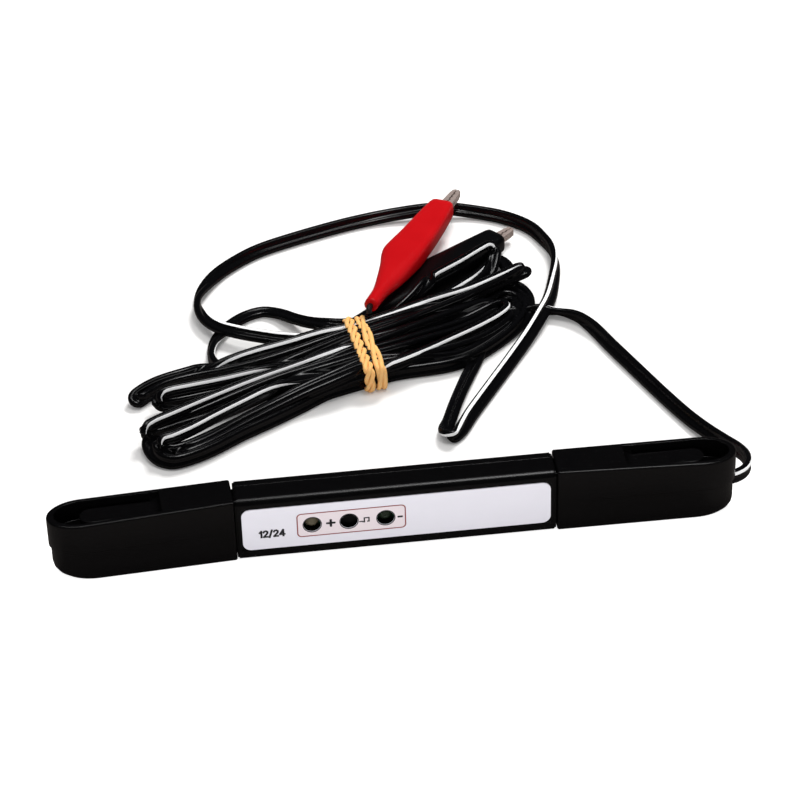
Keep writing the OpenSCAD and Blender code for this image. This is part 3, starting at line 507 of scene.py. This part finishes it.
# Points of a round-cornered rectangle, anticlockwise from its right side
def round_box(x0, x1, z0, z1, r):
    out = []
    middles = ((x1 - r, z1 - r), (x0 + r, z1 - r), (x0 + r, z0 + r), (x1 - r, z0 + r))
    for corner, (cx, cz) in enumerate(middles):
        start = 90 * corner
        for k in range(7):
            t = math.radians(start + 15 * k)
            out.append((cx + r * math.cos(t), cz + r * math.sin(t)))
    return out


# A band is three strands twisted round each other. wide and deep are how far
# a strand swings along the hank and off it.
def twisted_band(name, x, phase, turns, wide, deep):
    a, b = core_y + strand_off, (core_top - core_low) / 2 + strand_off
    middle = (core_top + core_low) / 2
    loop = round_box(-a, a, -b, b, corner_r)
    fine = []
    for p, q in zip(loop, loop[1:] + loop[:1]):
        n = max(1, round(math.dist(p, q) / band_step))
        fine += [(p[0] + (q[0] - p[0]) * k / n, p[1] + (q[1] - p[1]) * k / n) for k in range(n)]
    m = len(fine)
    verts, faces = [], []
    for strand in range(strands):
        base = len(verts)
        for i, p in enumerate(fine):
            q0, q1 = fine[i - 1], fine[(i + 1) % m]
            d = math.dist(q0, q1)
            ny, nz = (q1[1] - q0[1]) / d, -(q1[0] - q0[0]) / d
            twist = 2 * math.pi * turns * i / m + phase + 2 * math.pi * strand / strands
            ox, on = wide * math.cos(twist), deep * math.sin(twist)
            for k in range(strand_sides):
                t = 2 * math.pi * k / strand_sides
                sx, sn = strand_w * math.cos(t), strand_t * math.sin(t)
                y, z = p[0] + ny * (on + sn), middle + p[1] + nz * (on + sn)
                verts.append(waist_at + band_x * (x + ox + sx) + band_y * y + Vector((0, 0, z)))
        for i in range(m):
            row, after = base + i * strand_sides, base + (i + 1) % m * strand_sides
            for k in range(strand_sides):
                k2 = (k + 1) % strand_sides
                faces.append((row + k, row + k2, after + k2, after + k))
    obj = new_object(name + "_strands", verts, faces, (band_tan,))
    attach(obj, "root")
    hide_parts(name)


twisted_band("band_left", -1.9, 0.4, 6, 1.0, 0.5)
twisted_band("band_right", 1.9, 0.3, 2, 1.05, 0.3)

# Printing on the label: an outline round the holes and the marks beside them.
# The label's back lies a little under the pen's front face.
pen_half_depth, label_sink, label_thick = 5.9, 0.25, 0.3
face_y = -pen_half_depth + label_sink - label_thick
lamp_x, lamp_pitch, lamp_z = -24.7, 10.7, 10.7


# Thin shape, with or without a hole, that lies just off the label: print, and the painted shade round the
# holes
def print_and_shade_sheet(name, mat, outline, hole=None, lift=0.02):
    bm = bmesh.new()
    y = (face_y - lift) * MM
    outer = [bm.verts.new((x * MM, y, z * MM)) for x, z in outline]
    if hole:
        inner = [bm.verts.new((x * MM, y, z * MM)) for x, z in hole]
        for i in range(len(outline)):
            j = (i + 1) % len(outline)
            bm.faces.new((outer[i], outer[j], inner[j], inner[i]))
    else:
        bm.faces.new(outer)
    mesh = bpy.data.meshes.new(name)
    bm.to_mesh(mesh)
    bm.free()
    mesh.materials.append(mat)
    obj = bpy.data.objects.new(name, mesh)
    scene.collection.objects.link(obj)
    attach(obj, "root")


def circle(x, z, r, n=48):
    turns = [2 * math.pi * k / n for k in range(n)]
    return [(x + r * math.cos(t), z + r * math.sin(t)) for t in turns]


# Distance from a point in a box to the box's edge, in the direction c, s
def reach(x, z, box, c, s):
    x0, x1, z0, z1 = box
    to_side = ((x1 if c > 0 else x0) - x) / c if abs(c) > 1e-6 else math.inf
    to_end = ((z1 if s > 0 else z0) - z) / s if abs(s) > 1e-6 else math.inf
    return min(to_side, to_end)


frame_outside = round_box(-29.2, 2.6, 6.5, 15, 1.4)
frame_inside = round_box(-28.85, 2.25, 6.85, 14.65, 1.1)
print_and_shade_sheet("print_frame", print_red, frame_outside, frame_inside)
# Dark rings round the holes are painted shade at the holes' rims, and they make the holes look wider
for i in range(3):
    x = lamp_x + i * lamp_pitch
    print_and_shade_sheet("hole_rim_shade_%d" % i, print_and_shade_dark, circle(x, lamp_z, 2.8), circle(x, lamp_z, 2.52), 0.025)
# The tinted field inside the outline, in three parts that leave the holes open
field_ends = (-28.9, lamp_x + 0.5 * lamp_pitch, lamp_x + 1.5 * lamp_pitch, 2.3)
field_low, field_top, field_hole = 6.8, 14.7, 2.6
for i in range(3):
    x = lamp_x + i * lamp_pitch
    box = (*field_ends[i:i + 2], field_low, field_top)
    corners = [(u, v) for u in box[:2] for v in box[2:]]
    turns = [math.atan2(v - lamp_z, u - x) % (2 * math.pi) for u, v in corners]
    edge, rim = [], []
    for a in sorted(turns + [2 * math.pi * k / 40 for k in range(40)]):
        c, s = math.cos(a), math.sin(a)
        far = reach(x, lamp_z, box, c, s)
        edge.append((x + far * c, lamp_z + far * s))
        rim.append((x + field_hole * c, lamp_z + field_hole * s))
    print_and_shade_sheet("print_field_%d" % i, label_pink, edge, rim, 0.01)
print_and_shade_sheet("print_plus_bar", print_and_shade_dark, round_box(-20.7, -17.9, 10.35, 11.05, 0.25))
print_and_shade_sheet("print_plus_post", print_and_shade_dark, round_box(-19.65, -18.95, 9.3, 12.1, 0.25), lift=0.03)
print_and_shade_sheet("print_minus", print_and_shade_dark, round_box(0.1, 1.7, 10.35, 11, 0.25))


# A mark drawn as strokes of one thickness, at one of five heights each, so
# that neighbours which cross don't lie in one plane
def strokes(name, lines, x, z, size, thick):
    n = 0
    for points in lines:
        for p, q in zip(points, points[1:]):
            a = Vector((x + p[0] * size, z + p[1] * size))
            b = Vector((x + q[0] * size, z + q[1] * size))
            d = (b - a).normalized() * thick / 2
            s = Vector((-d.y, d.x))
            a, b = a - d * 0.8, b + d * 0.8
            lift = 0.02 + 0.002 * (n % 5)
            print_and_shade_sheet("%s_%d" % (name, n), print_and_shade_dark, [a + s, a - s, b - s, b + s], lift=lift)
            n += 1


# The two supply voltages, and the sign of the sounder
one = [[(0.08, 0.75), (0.3, 1), (0.3, 0)]]
two = [[(0.04, 0.78), (0.16, 0.96), (0.36, 1), (0.54, 0.9), (0.56, 0.7), (0.44, 0.48),
    (0.06, 0.04), (0.6, 0.04)]]
four = [[(0.46, 0), (0.46, 1), (0.02, 0.28), (0.64, 0.28)]]
slash = [[(0, -0.08), (0.34, 1.08)]]
volts = ((one, -40.2), (two, -39), (slash, -37.2), (two, -36), (four, -34.2))
for k, (glyph, at) in enumerate(volts):
    strokes("print_volts_%d" % k, glyph, at, 7.7, 2.2, 0.6)
sound = [[(0, 0.2), (0.55, 0.2)], [(0.9, 0), (0.9, 1), (1.8, 1), (1.8, 0.1)],
    [(0.62, 0.08), (0.9, 0.08)], [(1.52, 0.14), (1.8, 0.14)]]
strokes("print_sound", sound, -10.9, 9.9, 1.5, 0.4)

# Studio: white floor, partly shown by its own light to the camera only,
# so that shadows on it stay faint, and dark to reflections. Its own light is
# stronger in front of the pen than behind it.
front_y, front_glow = -0.005, 0.8
back_y, back_glow = 0.03, 0.07
floor_mat = bpy.data.materials.new("floor_white")
floor_mat.use_nodes = True
nodes, links = floor_mat.node_tree.nodes, floor_mat.node_tree.links
surface = nodes["Principled BSDF"]
surface.inputs["Roughness"].default_value = 0.9
surface.inputs["Specular IOR Level"].default_value = 0.0
path = nodes.new("ShaderNodeLightPath")
tint = nodes.new("ShaderNodeMix")
tint.data_type = "RGBA"
tint.inputs["A"].default_value = (0.82, 0.81, 0.795, 1)
tint.inputs["B"].default_value = (0.1, 0.09, 0.085, 1)
links.new(path.outputs["Is Glossy Ray"], tint.inputs["Factor"])
links.new(tint.outputs["Result"], surface.inputs["Base Color"])
surface.inputs["Emission Color"].default_value = (1, 1, 1, 1)
place = nodes.new("ShaderNodeTexCoord")
split = nodes.new("ShaderNodeSeparateXYZ")
near = nodes.new("ShaderNodeMapRange")
near.inputs["From Min"].default_value = front_y
near.inputs["From Max"].default_value = back_y
near.inputs["To Min"].default_value = front_glow
near.inputs["To Max"].default_value = back_glow
links.new(place.outputs["Object"], split.inputs["Vector"])
links.new(split.outputs["Y"], near.inputs["Value"])
glow = nodes.new("ShaderNodeMath")
glow.operation = "MULTIPLY"
links.new(path.outputs["Is Camera Ray"], glow.inputs[0])
links.new(near.outputs["Result"], glow.inputs[1])
links.new(glow.outputs["Value"], surface.inputs["Emission Strength"])
mesh = bpy.data.meshes.new("floor")
mesh.from_pydata([(-6, -3, 0), (6, -3, 0), (6, 12, 0), (-6, 12, 0)], [], [(0, 1, 2, 3)])
mesh.materials.append(floor_mat)
floor = bpy.data.objects.new("floor", mesh)
scene.collection.objects.link(floor)

# The world is pale grey, and dark to reflections
world = bpy.data.worlds.new("world")
scene.world = world
world.use_nodes = True
nodes, links = world.node_tree.nodes, world.node_tree.links
back = nodes["Background"]
path = nodes.new("ShaderNodeLightPath")
grey = nodes.new("ShaderNodeMix")
grey.data_type = "RGBA"
grey.inputs["A"].default_value = (0.46, 0.46, 0.467, 1)
grey.inputs["B"].default_value = (0.012, 0.012, 0.013, 1)
links.new(path.outputs["Is Glossy Ray"], grey.inputs["Factor"])
links.new(grey.outputs["Result"], back.inputs["Color"])
back.inputs["Strength"].default_value = 1.0


# Rectangular lamp, its places and size in metres and its power in watts
def area_light(name, at, to, size, power, glossy=True):
    data = bpy.data.lights.new(name, "AREA")
    data.shape = "RECTANGLE"
    data.size, data.size_y = size
    data.energy = power
    obj = bpy.data.objects.new(name, data)
    scene.collection.objects.link(obj)
    obj.location = at
    obj.rotation_euler = (Vector(to) - Vector(at)).to_track_quat("-Z", "Y").to_euler()
    obj.visible_glossy = glossy


area_light("key_box", (0.55, 1.05, 1.15), (0, 0.05, 0), (0.55, 0.35), 25, glossy=False)
area_light("fill_box", (-0.2, -1.3, 0.45), (0, 0, 0.01), (1, 0.5), 6.5, glossy=False)
area_light("strip_box", (0, 0.3, 1.5), (0, 0.05, 0), (1.2, 0.14), 3)
area_light("high_box", (0.3, -0.1, 1.7), (0, 0.05, 0), (0.4, 0.4), 5)
scene.view_settings.view_transform = "Standard"
